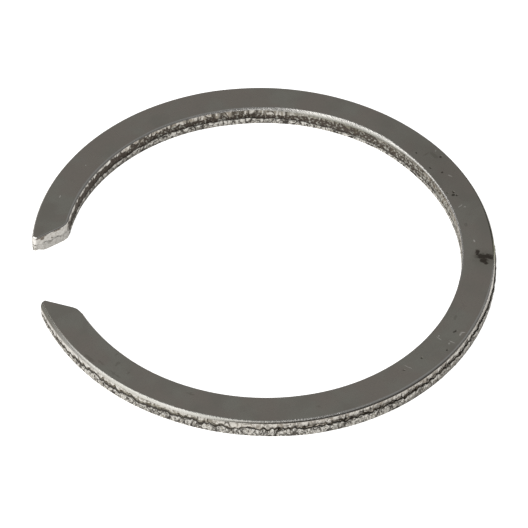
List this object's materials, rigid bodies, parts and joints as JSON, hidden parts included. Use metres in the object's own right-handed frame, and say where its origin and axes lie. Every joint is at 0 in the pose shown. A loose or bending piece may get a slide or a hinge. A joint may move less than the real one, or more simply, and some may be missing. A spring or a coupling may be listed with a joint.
{
  "type": "circlip retaining ring",
  "caption": "Open steel retaining ring of rectangular section for a shaft groove, its opening widening inwards between two cut-back ends.",
  "frame": {"origin": "centre of the bore at mid-thickness", "axes": "+Z along the ring's axis, out of the face with the rolled rim; the opening between the two ends faces -X"},
  "size_m": [0.0581, 0.0586, 0.0024],
  "materials": {
    "spring_steel": "satin, tumbled, torn edges"
  },
  "bodies": {
    "root": {"retaining_ring": "spring_steel"}
  },
  "joints": []
}
